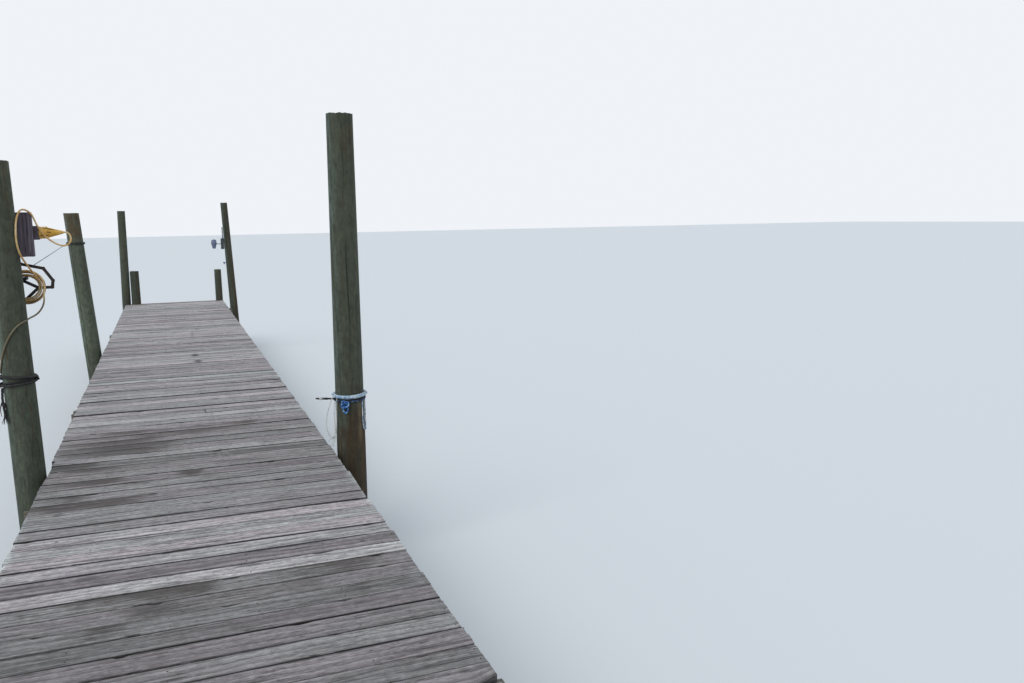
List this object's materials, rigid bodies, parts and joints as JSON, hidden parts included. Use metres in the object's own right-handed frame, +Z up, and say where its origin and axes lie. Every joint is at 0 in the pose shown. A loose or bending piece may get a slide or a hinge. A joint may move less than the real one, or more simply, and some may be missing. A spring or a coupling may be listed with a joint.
{
  "type": "wooden jetty",
  "caption": "Narrow timber jetty: weathered boards across stringers and clamped caps on round piles, with tall mooring piles standing beside the deck.",
  "frame": {"origin": "middle of the length and of the deck's width, on the flat that the piles stand on, which is the water's level", "axes": "+Y along the deck to its far end, +X to the right side seen from the near end, +Z up"},
  "size_m": [2.472, 18.6484, 3.2406],
  "materials": {
    "deck_boards": "weathered silver grey, dry and cracked",
    "frame_timber": "weathered, green grey",
    "fascia_timber": "weathered reddish brown",
    "pile_timber": "treated timber, weathered green grey",
    "hanger_timber": "weathered, purple grey",
    "hook_steel": "black paint, chipped",
    "cable_rubber": "yellow jacket, faded",
    "black_rope": "laid polypropylene, salt worn",
    "blue_rope": "laid rope, blue and white, faded",
    "white_cord": "braided cord",
    "fitting_metal": "painted blue grey, dull"
  },
  "bodies": {
    "root": {"deck_boards_1": "deck_boards", "deck_boards_2": "deck_boards", "deck_boards_3": "deck_boards", "deck_boards_4": "deck_boards", "deck_boards_5": "deck_boards", "deck_boards_6": "deck_boards", "rim_left": "frame_timber", "rim_right": "frame_timber", "stringer_1": "frame_timber", "stringer_2": "frame_timber", "stringer_3": "frame_timber", "stringer_4": "frame_timber", "cap_1": "frame_timber", "cap_2": "frame_timber", "cap_3": "frame_timber", "cap_4": "frame_timber", "cap_5": "frame_timber", "cap_6": "frame_timber", "cap_far": "frame_timber", "saddle_block": "frame_timber", "fascia_near": "fascia_timber", "fascia_far": "fascia_timber", "low_piles_left": "pile_timber", "low_piles_right": "pile_timber", "pile_near_left": "pile_timber", "pile_near_right": "pile_timber", "pile_mid_left": "pile_timber", "pile_far_right": "pile_timber", "pile_corner_left": "pile_timber", "pile_stub_left": "pile_timber", "pile_stub_right": "pile_timber", "hanger_board": "hanger_timber", "cable_hook": "hook_steel", "cable_loop": "cable_rubber", "cable_coil": "cable_rubber", "cable_tail": "cable_rubber", "cable_plug": "cable_rubber", "black_rope": "black_rope", "black_rope_tail": "black_rope", "mid_rope": "black_rope", "strung_line": "black_rope", "blue_rope": "blue_rope", "blue_rope_loop": "blue_rope", "white_line": "white_cord", "far_right_fittings": "fitting_metal"}
  },
  "joints": []
}
